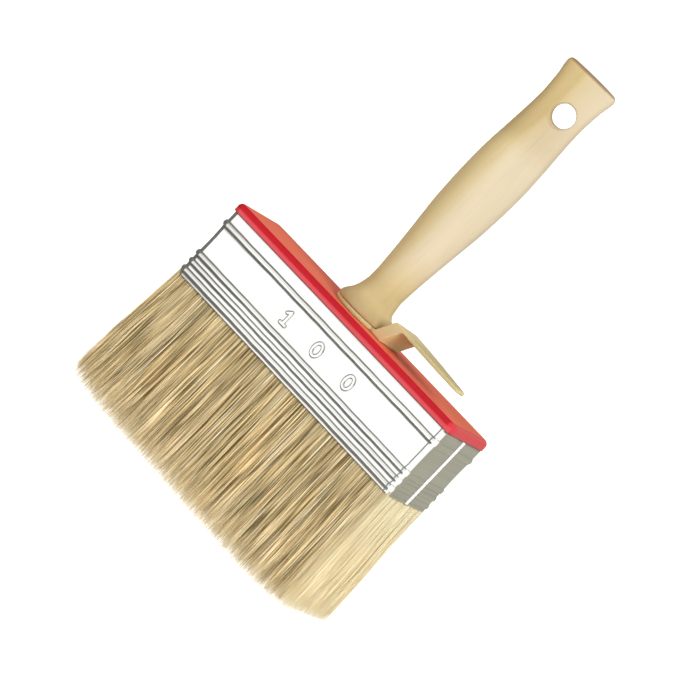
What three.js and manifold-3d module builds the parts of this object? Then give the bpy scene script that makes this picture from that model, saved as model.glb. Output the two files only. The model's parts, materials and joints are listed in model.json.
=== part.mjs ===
// Block brush, 100 x 30 mm: flat rectangular brush head with an upright oval
// handle, a bucket hook and natural bristle.  Millimetres, +Z up.
// The brush stands on its bristle tips: z = 0 is the tip plane, X runs along
// the 100 mm width, Y through the 30 mm thickness, and the front is -Y.
import * as THREE from 'three';
import { mergeVertices } from 'three/addons/utils/BufferGeometryUtils.js';
import Module from 'manifold-3d';

const wasm = await Module();
wasm.setup();

// ---------------------------------------------------------------- dimensions
const GAP = 0.3;               // clearance between neighbouring solids

const FERRULE_W = 100;         // outer width of the metal band, X
const FERRULE_D = 30;          // outer thickness of the metal band, Y
const FERRULE_H = 25.2;        // height of the metal band
const FERRULE_T = 0.45;        // sheet thickness
const FERRULE_R = 2.5;         // vertical corner radius
const BRISTLE_OUT = 47.0;      // bristle length below the band
const Z_FB = BRISTLE_OUT;      // bottom edge of the band
const Z_FT = Z_FB + FERRULE_H; // top edge of the band, 72.2
const RIB_H = 0.7;             // how far a bead stands out
const RIBS = [                 // [centre below the top edge, half width]
  [4.56, 1.0], [16.77, 0.92], [19.94, 0.82], [23.12, 0.92],
];
const WAIST = 0.35;            // inward bow of the panel between beads 1 and 2
const SEAM_H = 0.45;           // height of the folded seam on the +X end
const SEAM_W = 2.6;            // width of the folded seam

const CAP_W = 101, CAP_D = 30.5, CAP_R = 2.8, CAP_DX = -0.25;
const CAP_TOP = Z_FT + 3.35;   // flat top of the cap
const CAP_SIDE = 1.7;          // height of its vertical side above the band
const CAP_FILLET = 1.6;
const PLUG_DEPTH = 7.5;        // how far the cap's skirt reaches into the band
const PLUG_WALL = 2.0;

const SPACER_L = 81.4, SPACER_T = 8, SPACER_Z0 = Z_FB + 3, SPACER_Z1 = Z_FB + 15.6;
const RESIN_Z0 = Z_FB + 9.8, RESIN_Z1 = Z_FB + 16;
const BRISTLE_Z1 = RESIN_Z0 - GAP;
const TIP_W = 104, TIP_D = 32.6, TIP_R = 6; // outline at the flared tips
const TIP_DX = -1.1;           // the filling spreads more at the -X end
const TIP_RISE = 2;            // how much shorter the end bristles are

const FOOT_X = -1.5;           // centre of the handle foot
const FOOT_A = 10.6, FOOT_B = 10.3; // half axes of the oval foot
const PLATE_T = 1.1;           // thickness of the hook's base plate
const PLATE_Z0 = CAP_TOP + GAP;
const FOOT_Z0 = PLATE_Z0 + PLATE_T + GAP;

const HOOK_TURN = -11.8;         // degrees about the screw, seen from above
const HOOK_END = 44.6;         // reach of the tongue from the screw
const HOOK_LOW0 = 10.05, HOOK_LOW1 = 9.55; // tongue underside above the band, root and tip

const SCREW_R = 2.2, SCREW_TOP = Z_FT + 27, HEAD_R = 4.2, HEAD_H = 2.6;
const BOSS_R = 6.5, BOSS_Z0 = Z_FT - 1.8, WASHER_R = 5.4, WASHER_T = 1.0;
const PEG_R = 1.6, PEG_DX = 6.6, PEG_L = 2.9; // locating pegs under the foot

const HANDLE_TURN = 20;        // degrees the flat of the grip is turned about the screw
const HOLE_DX = 2.19, HOLE_Z = Z_FT + 88.2, HOLE_R = 3.8; // hanging hole

// ------------------------------------------------------------------- helpers
function weld(geometry) {
  const g = geometry.clone();
  g.deleteAttribute('normal');
  if (g.attributes.uv) g.deleteAttribute('uv');
  return mergeVertices(g, 1e-4);
}
function solid(geometry) {
  const g = weld(geometry);
  const keep = [];
  const idx = g.index.array;
  for (let i = 0; i < idx.length; i += 3) {
    const [a, b, c] = [idx[i], idx[i + 1], idx[i + 2]];
    if (a !== b && b !== c && a !== c) keep.push(a, b, c);
  }
  const make = () => new wasm.Manifold(new wasm.Mesh({
    numProp: 3,
    vertProperties: new Float32Array(g.attributes.position.array),
    triVerts: new Uint32Array(keep),
  }));
  let m = make();
  if (m.volume() < 0) {          // wound inside out: turn every triangle over
    for (let i = 0; i < keep.length; i += 3) [keep[i], keep[i + 1]] = [keep[i + 1], keep[i]];
    m = make();
  }
  return m;
}
function geometryOf(manifold) {
  const m = manifold.getMesh();
  const g = new THREE.BufferGeometry();
  g.setAttribute('position', new THREE.BufferAttribute(new Float32Array(m.vertProperties), 3));
  g.setIndex(new THREE.BufferAttribute(new Uint32Array(m.triVerts), 1));
  g.computeVertexNormals();
  return g;
}
function mapPoints(geometry, fn) {
  const g = weld(geometry);
  const p = g.attributes.position;
  const v = new THREE.Vector3();
  for (let i = 0; i < p.count; i++) {
    v.fromBufferAttribute(p, i);
    fn(v);
    p.setXYZ(i, v.x, v.y, v.z);
  }
  return g;
}
function box(x0, x1, y0, y1, z0, z1) {
  const g = new THREE.BoxGeometry(x1 - x0, y1 - y0, z1 - z0);
  g.translate((x0 + x1) / 2, (y0 + y1) / 2, (z0 + z1) / 2);
  return g;
}
function upright(radius, z0, z1, x = 0, y = 0, segments = 20) {
  const g = new THREE.CylinderGeometry(radius, radius, z1 - z0, segments);
  g.rotateX(Math.PI / 2);
  g.translate(x, y, (z0 + z1) / 2);
  return g;
}
// Outline of a rounded rectangle as points with outward normals.
function roundedOutline(w, d, r, steps, extra = []) {
  const out = [];
  const hx = w / 2, hy = d / 2;
  const corners = [[hx, hy, 0], [-hx, hy, 90], [-hx, -hy, 180], [hx, -hy, 270]];
  for (const [cx, cy, a0] of corners) {
    for (let i = 0; i <= steps; i++) {
      const a = THREE.MathUtils.degToRad(a0 + 90 * i / steps);
      const ccx = cx - Math.sign(cx) * r, ccy = cy - Math.sign(cy) * r;
      out.push({ x: ccx + r * Math.cos(a), y: ccy + r * Math.sin(a), nx: Math.cos(a), ny: Math.sin(a), s: 0 });
    }
  }
  return out.concat(extra);
}
function roundedShape(w, d, r, steps = 4) {
  const s = new THREE.Shape();
  roundedOutline(w, d, r, steps).forEach((p, i) => (i ? s.lineTo(p.x, p.y) : s.moveTo(p.x, p.y)));
  s.closePath();
  return s;
}
function prism(shape, z0, z1, steps = 1) {
  const g = new THREE.ExtrudeGeometry(shape, { depth: z1 - z0, bevelEnabled: false, steps });
  g.translate(0, 0, z0);
  return g;
}
// A profile drawn in the XZ plane and extruded along Y.
function slab(points, y0, y1) {
  const s = new THREE.Shape();
  points.forEach(([x, z], i) => (i ? s.lineTo(x, z) : s.moveTo(x, z)));
  s.closePath();
  const g = new THREE.ExtrudeGeometry(s, { depth: y1 - y0, bevelEnabled: false });
  g.rotateX(Math.PI / 2);
  g.translate(0, y1, 0);
  return g;
}
const smooth = (a, b, t) => { const u = Math.min(1, Math.max(0, (t - a) / (b - a))); return u * u * (3 - 2 * u); };

const group = new THREE.Group();
function add(name, geometry, color, roughness, metalness = 0) {
  const mesh = new THREE.Mesh(geometry, new THREE.MeshStandardMaterial({ color, roughness, metalness }));
  mesh.name = name;
  group.add(mesh);
  return mesh;
}

// -------------------------------------------------------------------- handle
// Oval sections along the grip: [height above the band, offset from the screw
// axis, half width, half thickness, squareness], before the grip is turned.
const SECTIONS = [
  [FOOT_Z0 - Z_FT, 0.0, 10.6, 10.3, 2.0],
  [6.2, -0.142, 10.332, 10.15, 2.0],
  [7.0, -0.371, 9.601, 9.5, 2.0],
  [8.0, -0.645, 8.643, 8.6, 2.0],
  [9.0, -0.987, 7.634, 7.75, 2.0],
  [10.0, -1.106, 7.109, 7.15, 2.0],
  [12.0, -0.965, 6.663, 6.6, 2.0],
  [15.0, -0.883, 6.279, 6.25, 2.0],
  [18.0, -0.77, 6.388, 6.25, 2.0],
  [22.0, -0.699, 6.658, 6.4, 2.0],
  [26.0, -0.617, 6.999, 6.7, 2.05],
  [30.0, -0.535, 7.388, 7.05, 2.05],
  [35.0, -0.446, 7.882, 7.45, 2.1],
  [40.0, -0.372, 8.425, 7.85, 2.1],
  [45.0, -0.261, 8.925, 8.2, 2.15],
  [50.0, -0.151, 9.213, 8.45, 2.15],
  [56.0, -0.018, 9.481, 8.6, 2.15],
  [62.0, 0.104, 9.551, 8.5, 2.15],
  [68.0, 0.195, 9.386, 8.0, 2.2],
  [74.0, 0.348, 9.024, 7.1, 2.25],
  [80.0, 0.432, 8.616, 5.9, 2.35],
  [85.0, 0.546, 8.356, 5.0, 2.5],
  [89.0, 0.643, 8.292, 4.6, 2.6],
  [93.0, 0.693, 8.509, 4.45, 2.7],
  [96.5, 0.775, 8.822, 4.4, 2.8],
  [99.5, 0.804, 9.333, 4.4, 2.8],
  [101.1, 0.816, 9.486, 4.4, 2.8],
  [102.1, 0.861, 9.228, 4.15, 2.8],
  [102.7, 0.886, 8.533, 3.6, 2.8],
  [102.9, 0.891, 7.828, 2.9, 2.8],
];
{
  const profile = [new THREE.Vector2(0, Z_FT + SECTIONS[0][0])];
  for (const [z] of SECTIONS) profile.push(new THREE.Vector2(1, Z_FT + z));
  profile.push(new THREE.Vector2(0, Z_FT + SECTIONS[SECTIONS.length - 1][0]));
  const lathe = new THREE.LatheGeometry(profile, 28);
  lathe.rotateX(Math.PI / 2);
  // the lathe is a unit column; every ring takes its oval section
  const body = mapPoints(lathe, (v) => {
    const r = Math.hypot(v.x, v.y), th = Math.atan2(v.y, v.x), h = v.z - Z_FT;
    let k = 0;
    while (k < SECTIONS.length - 2 && SECTIONS[k + 1][0] < h - 1e-3) k++;
    const A = SECTIONS[k], B = SECTIONS[k + 1];
    const t = Math.min(1, Math.max(0, (h - A[0]) / (B[0] - A[0])));
    const [cx, a, b, n] = [1, 2, 3, 4].map((i) => A[i] + (B[i] - A[i]) * t);
    const c = Math.cos(th), s = Math.sin(th);
    v.x = cx + r * a * Math.sign(c) * Math.abs(c) ** (2 / n); // cx is the offset
    v.y = r * b * Math.sign(s) * Math.abs(s) ** (2 / n);
    // the top end is square to the slightly leaning grip
    if (h > 99) v.z -= 0.018 * (v.x - cx);
  });
  let handle = solid(body);
  // hanging hole with softly rounded rims, through the flat of the grip
  const rim = [];
  const N = 4, flare = 1.2, spread = 0.8, throat = 3.3;
  rim.push(new THREE.Vector2(0, -7));
  rim.push(new THREE.Vector2(HOLE_R + spread, -7));
  for (let i = N; i >= 0; i--) {
    const u = flare * i / N;
    rim.push(new THREE.Vector2(HOLE_R + spread * (1 - Math.sqrt(Math.max(0, 1 - (u / flare) ** 2))), -(throat + u)));
  }
  for (let i = 0; i <= N; i++) {
    const u = flare * i / N;
    rim.push(new THREE.Vector2(HOLE_R + spread * (1 - Math.sqrt(Math.max(0, 1 - (u / flare) ** 2))), throat + u));
  }
  rim.push(new THREE.Vector2(HOLE_R + spread, 7));
  rim.push(new THREE.Vector2(0, 7));
  const cutter = new THREE.LatheGeometry(rim, 24);
  cutter.translate(HOLE_DX, 0, HOLE_Z);
  handle = handle.subtract(solid(cutter)).rotate([0, 0, HANDLE_TURN]).translate([FOOT_X, 0, 0]);
  // blind pilot hole for the screw
  handle = handle.subtract(solid(upright(SCREW_R + GAP, FOOT_Z0 - 1, SCREW_TOP + 0.5, FOOT_X, 0, 12)));
  // two short locating pegs under the foot
  for (const dx of [-PEG_DX, PEG_DX]) {
    handle = handle.add(solid(upright(PEG_R, FOOT_Z0 - PEG_L, FOOT_Z0 + 0.5, FOOT_X + dx, 0, 12)));
  }
  add('handle', geometryOf(handle), 0xe3cd9c, 0.42);
}

// --------------------------------------------------------------- bucket hook
// Oval base plate clamped under the foot, an upstand that leans outwards and a
// tapering flat tongue over the cap.  A bucket rim slides in between the tongue
// and the cap.  The whole hook sits turned by HOOK_TURN about the screw.
// u runs outwards from the screw, v across the strip.
{
  const ovalShape = (g) => {
    const s = new THREE.Shape();
    for (let i = 0; i < 32; i++) {
      const a = i / 32 * Math.PI * 2;
      const x = FOOT_X + (FOOT_A + g) * Math.cos(a), y = (FOOT_B + g) * Math.sin(a);
      if (i) s.lineTo(x, y); else s.moveTo(x, y);
    }
    s.closePath();
    return s;
  };
  let hook = solid(prism(ovalShape(0.1), PLATE_Z0, PLATE_Z0 + PLATE_T));
  const side = [
    [8.6, PLATE_Z0 - Z_FT], [13.9, PLATE_Z0 - Z_FT], [14.25, 4.3], [17.3, 9.2], [17.75, 9.75], [18.6, HOOK_LOW0],
    [HOOK_END - 0.5, HOOK_LOW1], [HOOK_END, HOOK_LOW1 + 0.45], [HOOK_END - 0.4, HOOK_LOW1 + 1.2],
    [18.2, 11.25], [14.5, 11.3], [13.9, 10.9], [10.2, 4.9], [8.6, 4.9],
  ].map(([u, z]) => [u, Z_FT + z]);
  const half = [[7, 5.75], [18, 5.8], [24, 5.5], [30, 4.9], [36, 4.05], [41, 3.0], [43.4, 2.2], [44.3, 1.4], [HOOK_END + 0.2, 0.8]];
  const plan = new THREE.Shape();
  [...half.map(([u, w]) => [u, -w]), ...half.map(([u, w]) => [u, w]).reverse()]
    .forEach(([u, v], i) => (i ? plan.lineTo(u, v) : plan.moveTo(u, v)));
  plan.closePath();
  const strip = solid(slab(side, -7, 7)).intersect(solid(prism(plan, PLATE_Z0 - 1, Z_FT + 14)));
  const turned = geometryOf(strip);
  turned.rotateZ(THREE.MathUtils.degToRad(HOOK_TURN));
  turned.translate(FOOT_X, 0, 0);
  hook = hook.add(solid(turned));
  // room for the foot, the screw and the locating pegs
  hook = hook.subtract(solid(upright(SCREW_R + GAP, PLATE_Z0 - 1, PLATE_Z0 + PLATE_T + 1, FOOT_X, 0, 16)));
  for (const dx of [-PEG_DX, PEG_DX]) {
    hook = hook.subtract(solid(upright(PEG_R + GAP, PLATE_Z0 - 1, PLATE_Z0 + PLATE_T + 1, FOOT_X + dx, 0, 12)));
  }
  hook = hook.subtract(solid(prism(ovalShape(GAP + 0.2), PLATE_Z0 + PLATE_T, Z_FT + 9.0)));
  add('bucket_hook', geometryOf(hook), 0xd9c294, 0.45);
}

// ----------------------------------------------------------------------- cap
// Red moulding: a flange over the band's top edge and a hollow skirt that
// plugs into it, with two cross ribs and the screw boss.
{
  const steps = 4;
  const zs = Z_FT + GAP;
  const lay = [[zs, 0], [Z_FT + CAP_SIDE, 0]];
  for (let i = 1; i <= 4; i++) {
    const a = i / 4 * Math.PI / 2;
    lay.push([Z_FT + CAP_SIDE + (3.35 - CAP_SIDE) * Math.sin(a), CAP_FILLET * (1 - Math.cos(a))]);
  }
  const shape = roundedShape(CAP_W, CAP_D, CAP_R, steps);
  const flangeRaw = prism(shape, 0, lay.length - 1, lay.length - 1);
  const flange = mapPoints(flangeRaw, (v) => {
    const k = Math.round(v.z);
    const inset = lay[k][1];
    const r = CAP_R;
    // move towards the inside by the inset, along the outline's normal
    const cx = Math.sign(v.x) * (CAP_W / 2 - r), cy = Math.sign(v.y) * (CAP_D / 2 - r);
    const dx = Math.abs(v.x) > Math.abs(cx) - 1e-4 ? v.x - cx : 0;
    const dy = Math.abs(v.y) > Math.abs(cy) - 1e-4 ? v.y - cy : 0;
    const l = Math.hypot(dx, dy) || 1;
    v.x += CAP_DX - dx / l * inset; v.y -= dy / l * inset;
    v.z = lay[k][0];
  });
  let cap = solid(flange);
  const inW = FERRULE_W - 2 * (FERRULE_T + GAP + WAIST), inD = FERRULE_D - 2 * (FERRULE_T + GAP + WAIST);
  const z0 = Z_FT - PLUG_DEPTH;
  cap = cap.add(solid(prism(roundedShape(inW, inD, 1.8, steps), z0, zs + 0.5)));
  cap = cap.subtract(solid(prism(roundedShape(inW - 2 * PLUG_WALL, inD - 2 * PLUG_WALL, 1, 2), z0 - 1, Z_FT + 0.9)));
  const ribs = [[-30, 0], [27, 0]];
  for (const [x] of ribs) cap = cap.add(solid(box(x - 0.9, x + 0.9, -(inD / 2 - 1), inD / 2 - 1, z0 + 1, Z_FT + 1.2)));
  cap = cap.add(solid(upright(BOSS_R, BOSS_Z0, Z_FT + 1.2, FOOT_X, 0, 20)));
  cap = cap.subtract(solid(upright(SCREW_R + GAP, BOSS_Z0 - 1, CAP_TOP + 1, FOOT_X, 0, 16)));
  for (const dx of [-PEG_DX, PEG_DX]) {
    cap = cap.subtract(solid(upright(PEG_R + GAP, FOOT_Z0 - PEG_L - GAP, CAP_TOP + 1, FOOT_X + dx, 0, 12)));
  }
  add('cap', geometryOf(cap), 0xd2303a, 0.25);
}

// ------------------------------------------------------------------- ferrule
// Thin tinplate band: four beads all round, a slightly waisted panel, a folded
// seam on the +X end.  The profile is revolved, then every column of points is
// moved to its place on the rounded rectangle.
{
  const outer = [];
  const rib = (h) => {
    let o = 0;
    for (const [c, w] of RIBS) {
      const u = Math.abs(h - c) / w;
      if (u < 1) o = Math.max(o, RIB_H * Math.sqrt(1 - u * u));
    }
    return o;
  };
  const hs = new Set([0, 1.4, FERRULE_H, 24.6]);
  for (const [c, w] of RIBS) for (const u of [-1, -0.8, -0.4, 0, 0.4, 0.8, 1]) hs.add(+(c + u * w).toFixed(3));
  for (const h of [7.5, 10.6, 13.5]) hs.add(h);
  const levels = [...hs].sort((a, b) => a - b);
  const panel = (h) => (h > 5.56 && h < 15.85 ? -WAIST * Math.sin(Math.PI * (h - 5.56) / (15.85 - 5.56)) : 0);
  const R0 = 40;
  const at = (h) => rib(h) + panel(h);
  const pts = [];
  for (const h of levels) pts.push([R0 + at(h), Z_FT - h]);
  for (const h of [...levels].reverse()) pts.push([R0 + at(h) - FERRULE_T, Z_FT - h]);
  pts.push(pts[0]);
  // outline columns: rounded corners plus the seam's shoulders
  const cols = [];
  const seam = [-2.0, -SEAM_W / 2, SEAM_W / 2, 2.0];
  const base = roundedOutline(FERRULE_W, FERRULE_D, FERRULE_R, 4);
  for (const y of seam) cols.push({ x: FERRULE_W / 2, y, nx: 1, ny: 0, s: Math.abs(y) < 1.5 ? SEAM_H : 0 });
  for (const p of base) cols.push(p);
  const n = cols.length;
  const lathe = new THREE.LatheGeometry(pts.map(([r, z]) => new THREE.Vector2(r, z)), n);
  lathe.rotateX(Math.PI / 2);
  const band = mapPoints(lathe, (v) => {
    const r = Math.hypot(v.x, v.y);
    let i = Math.round(Math.atan2(v.y, v.x) / (2 * Math.PI) * n + n * 2) % n;
    const c = cols[(i + 0) % n];
    const o = r - R0 + c.s;
    v.x = c.x + c.nx * o;
    v.y = c.y + c.ny * o;
  });
  add('ferrule', geometryOf(solid(band)), 0xd8d8d2, 0.22, 1.0);
}

// ------------------------------------------- setting resin and spacer strip
const inW = FERRULE_W - 2 * (FERRULE_T + GAP + WAIST);
const inD = FERRULE_D - 2 * (FERRULE_T + GAP + WAIST);
{
  let resin = solid(prism(roundedShape(inW, inD, 1.8, 3), RESIN_Z0, RESIN_Z1));
  resin = resin.subtract(solid(box(-SPACER_L / 2 - GAP, SPACER_L / 2 + GAP, -SPACER_T / 2 - GAP, SPACER_T / 2 + GAP, RESIN_Z0 - 1, RESIN_Z1 + 1)));
  add('setting_resin', geometryOf(resin), 0x8a6a3c, 0.4);
  let spacer = solid(box(-SPACER_L / 2, SPACER_L / 2, -SPACER_T / 2, SPACER_T / 2, SPACER_Z0, SPACER_Z1));
  for (const sx of [-1, 1]) {
    // small chamfer on the two lower long edges
    const c = slab([[-60, SPACER_Z0 - 1], [60, SPACER_Z0 - 1], [60, SPACER_Z0 + 1.2], [-60, SPACER_Z0 + 1.2]], 0, 3);
    const w = mapPoints(c, (v) => { const t = v.y > 1 ? 1 : 0; const z = v.z; v.y = sx * (SPACER_T / 2 - 1.2 + (z - SPACER_Z0) + t * 3); });
    spacer = spacer.subtract(solid(w));
  }
  add('spacer_strip', geometryOf(spacer), 0xc9a56b, 0.7);
}

// ------------------------------------------------------------------ bristles
// The filling is one ring of bristle around the spacer.  It leaves a paint
// reservoir in the middle that closes towards the tips.
{
  const topShape = roundedShape(2, 2, 0.2, 4);
  const zLevels = [0, Z_FB - 0.5, BRISTLE_Z1];
  const raw = prism(topShape, 0, 2, 2);
  const outline = (k) => (k === 0 ? [TIP_W / 2, TIP_D / 2, TIP_R] : [inW / 2, inD / 2, 1.8]);
  const body = mapPoints(raw, (v) => {
    const k = Math.round(v.z);
    const [hx, hy, r] = outline(k);
    const sx = Math.sign(v.x), sy = Math.sign(v.y);
    const ux = (Math.abs(v.x) - 0.8) / 0.2, uy = (Math.abs(v.y) - 0.8) / 0.2;
    v.x = sx * (hx - r + r * ux) + (k === 0 ? TIP_DX : 0);
    v.y = sy * (hy - r + r * uy);
    v.z = zLevels[k];
  });
  let all = solid(body);
  // end bristles are a little shorter
  all = all.subtract(solid(slab([[36, -1], [60, -1], [60, TIP_RISE * 24 / 15.4], [36, 0]], -30, 30)));
  all = all.subtract(solid(slab([[-60, -1], [-36, -1], [-36, 0], [-60, TIP_RISE * 24 / 15.4]], -30, 30)));
  // reservoir: a wedge that is as wide as the spacer at the band
  const wedge = new THREE.Shape();
  [[-0.25, -1], [0.25, -1], [SPACER_T / 2 + GAP, Z_FB], [SPACER_T / 2 + GAP, BRISTLE_Z1 + 1], [-SPACER_T / 2 - GAP, BRISTLE_Z1 + 1], [-SPACER_T / 2 - GAP, Z_FB]]
    .forEach(([y, z], i) => (i ? wedge.lineTo(y, z) : wedge.moveTo(y, z)));
  wedge.closePath();
  const L = SPACER_L / 2 + GAP;
  const wg = new THREE.ExtrudeGeometry(wedge, { depth: 2 * L, bevelEnabled: false });
  wg.rotateX(Math.PI / 2); wg.rotateZ(Math.PI / 2); wg.translate(-L, 0, 0);
  all = all.subtract(solid(wg));
  const g2 = GAP / 2, B = 80;
  const parts = {
    bristles_front: box(-L + g2, L - g2, -B, -0.02, -5, B),
    bristles_back: box(-L + g2, L - g2, 0.02, B, -5, B),
    bristles_left: box(-B, -L - g2, -B, B, -5, B),
    bristles_right: box(L + g2, B, -B, B, -5, B),
  };
  const tint = { bristles_front: 0xc9a874, bristles_back: 0xc9a874, bristles_left: 0xcdb07c, bristles_right: 0xe0c896 };
  for (const [name, b] of Object.entries(parts)) add(name, geometryOf(all.intersect(solid(b))), tint[name], 0.8);
}

// ------------------------------------------------------------ screw, washer
{
  const z = BOSS_Z0 - GAP - WASHER_T;       // washer underside
  let washer = solid(upright(WASHER_R, z, z + WASHER_T, FOOT_X, 0, 24));
  washer = washer.subtract(solid(upright(SCREW_R + GAP, z - 1, z + WASHER_T + 1, FOOT_X, 0, 16)));
  add('screw_washer', geometryOf(washer), 0xb8b8b4, 0.3, 1.0);

  const zh = z - GAP;                        // head seat
  const head = [
    [0, zh - HEAD_H], [HEAD_R - 1.2, zh - HEAD_H], [HEAD_R - 0.3, zh - HEAD_H + 0.9], [HEAD_R, zh - 0.5], [HEAD_R, zh],
    [SCREW_R, zh], [SCREW_R, SCREW_TOP - 3], [0.5, SCREW_TOP], [0, SCREW_TOP],
  ].map(([r, zz]) => new THREE.Vector2(r, zz));
  const lg = new THREE.LatheGeometry(head, 16);
  lg.rotateX(Math.PI / 2);
  lg.translate(FOOT_X, 0, 0);
  let screw = solid(lg);
  const slotA = box(FOOT_X - 2.4, FOOT_X + 2.4, -0.45, 0.45, zh - HEAD_H - 1, zh - HEAD_H + 1.2);
  const slotB = box(FOOT_X - 0.45, FOOT_X + 0.45, -2.4, 2.4, zh - HEAD_H - 1, zh - HEAD_H + 1.2);
  screw = screw.subtract(solid(slotA).add(solid(slotB)));
  add('handle_screw', geometryOf(screw), 0xaeb0b2, 0.3, 1.0);
}

export default group;
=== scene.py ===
import bpy
import json
import math
import numpy as np
from mathutils import Matrix, Vector

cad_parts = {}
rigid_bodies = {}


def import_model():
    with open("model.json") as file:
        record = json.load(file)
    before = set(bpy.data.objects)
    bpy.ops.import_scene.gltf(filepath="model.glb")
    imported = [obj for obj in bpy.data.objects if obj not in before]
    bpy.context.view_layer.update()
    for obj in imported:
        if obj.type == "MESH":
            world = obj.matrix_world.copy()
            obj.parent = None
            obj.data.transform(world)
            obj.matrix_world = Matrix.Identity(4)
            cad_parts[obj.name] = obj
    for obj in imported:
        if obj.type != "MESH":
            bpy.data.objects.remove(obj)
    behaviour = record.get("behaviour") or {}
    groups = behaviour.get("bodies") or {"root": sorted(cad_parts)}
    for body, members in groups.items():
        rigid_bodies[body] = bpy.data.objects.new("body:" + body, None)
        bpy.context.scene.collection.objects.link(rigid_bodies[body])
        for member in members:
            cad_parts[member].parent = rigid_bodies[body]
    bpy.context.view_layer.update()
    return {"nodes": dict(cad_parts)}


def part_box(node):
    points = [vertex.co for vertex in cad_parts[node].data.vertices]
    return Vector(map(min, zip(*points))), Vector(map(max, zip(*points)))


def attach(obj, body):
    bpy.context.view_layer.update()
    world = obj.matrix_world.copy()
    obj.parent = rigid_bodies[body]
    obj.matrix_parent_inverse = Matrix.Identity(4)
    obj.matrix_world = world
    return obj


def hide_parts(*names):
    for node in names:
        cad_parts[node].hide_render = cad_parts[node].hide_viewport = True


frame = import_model()
RNG = np.random.default_rng(20731)

# ------------------------------------------------------------------ dimensions
# Everything is worked out in millimetres in the row frame and written in metres.
FE0, FE1 = [np.array(c) * 1000 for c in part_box("ferrule")]
CA0, CA1 = [np.array(c) * 1000 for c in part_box("cap")]
HA0, HA1 = [np.array(c) * 1000 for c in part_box("handle")]
ZB, ZT = float(FE0[2]), float(FE1[2])      # lower and upper edge of the band
CAP_TOP = float(CA1[2])
FW, FD, FR = 100.0, 30.0, 2.5              # band outline and corner radius
SHEET = 0.32                               # sheet thickness of the band
BEADS = [(4.56, 1.0, 0.70), (16.77, 0.92, 0.62), (19.94, 0.82, 0.62), (23.12, 0.92, 0.66)]
WAIST = 0.12
SEAM_Y = -1.6                              # middle of the folded seam
FOOT_X = -1.5                              # screw axis
HANDLE_TURN = 20.0                         # the flat of the grip is turned about the screw
HOLE_DX, HOLE_Z, HOLE_R = 2.19, ZT + 88.2, 3.8


# --------------------------------------------------------------------- helpers
def make_mesh(name, verts, faces, smooth=True):
    """A mesh from verts in mm and a list of equal-sided face arrays."""
    me = bpy.data.meshes.new(name)
    verts = np.asarray(verts, dtype=np.float64) * 0.001
    groups = [np.asarray(f, dtype=np.int32) for f in faces if len(f)]
    nl = sum(g.size for g in groups)
    nf = sum(len(g) for g in groups)
    me.vertices.add(len(verts))
    me.vertices.foreach_set("co", verts.ravel())
    me.loops.add(nl)
    me.loops.foreach_set("vertex_index", np.concatenate([g.ravel() for g in groups]))
    me.polygons.add(nf)
    starts, at = [], 0
    for g in groups:
        k = g.shape[1]
        starts.append(at + k * np.arange(len(g)))
        at += g.size
    me.polygons.foreach_set("loop_start", np.concatenate(starts).astype(np.int32))
    me.update(calc_edges=True)
    me.polygons.foreach_set("use_smooth", np.full(nf, smooth))
    me.validate()
    return me


def make_object(name, me, material):
    ob = bpy.data.objects.new(name, me)
    bpy.context.scene.collection.objects.link(ob)
    me.materials.clear()
    me.materials.append(material)
    return ob


def ring_faces(rows, cols, closed_rows=False, flip=False, start=0):
    r = np.arange(rows if closed_rows else rows - 1)
    c = np.arange(cols)
    rr, cc = np.meshgrid(r, c, indexing="ij")
    a = rr * cols + cc
    b = rr * cols + (cc + 1) % cols
    d = ((rr + 1) % rows) * cols + cc
    e = ((rr + 1) % rows) * cols + (cc + 1) % cols
    q = np.stack([a, b, e, d], axis=-1).reshape(-1, 4) + start
    return q[:, ::-1] if flip else q


def evaluated(ob):
    bpy.context.view_layer.update()
    deps = bpy.context.evaluated_depsgraph_get()
    return bpy.data.meshes.new_from_object(ob.evaluated_get(deps))


def apply_modifiers(ob, material, smooth=True):
    me = evaluated(ob)
    ob.modifiers.clear()
    old = ob.data
    ob.data = me
    bpy.data.meshes.remove(old)
    me.materials.clear()
    me.materials.append(material)
    me.polygons.foreach_set("use_smooth", np.full(len(me.polygons), smooth))
    return ob


def scratch(name, me):
    ob = bpy.data.objects.new(name, me)
    bpy.context.scene.collection.objects.link(ob)
    return ob


def drop(*obs):
    for ob in obs:
        me = ob.data
        bpy.data.objects.remove(ob)
        bpy.data.meshes.remove(me)


def pchip(x, y, q):
    """Shape-keeping cubic through (x, y), evaluated at q."""
    x, y, q = map(np.asarray, (x, y, q))
    h = np.diff(x)
    d = np.diff(y) / h
    m = np.zeros(len(x))
    for i in range(1, len(x) - 1):
        if d[i - 1] * d[i] > 0:
            w1, w2 = 2 * h[i] + h[i - 1], h[i] + 2 * h[i - 1]
            m[i] = (w1 + w2) / (w1 / d[i - 1] + w2 / d[i])
    m[0], m[-1] = d[0], d[-1]
    i = np.clip(np.searchsorted(x, q) - 1, 0, len(x) - 2)
    t = (q - x[i]) / h[i]
    return ((2 * t**3 - 3 * t**2 + 1) * y[i] + (t**3 - 2 * t**2 + t) * h[i] * m[i]
            + (-2 * t**3 + 3 * t**2) * y[i + 1] + (t**3 - t**2) * h[i] * m[i + 1])


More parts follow.
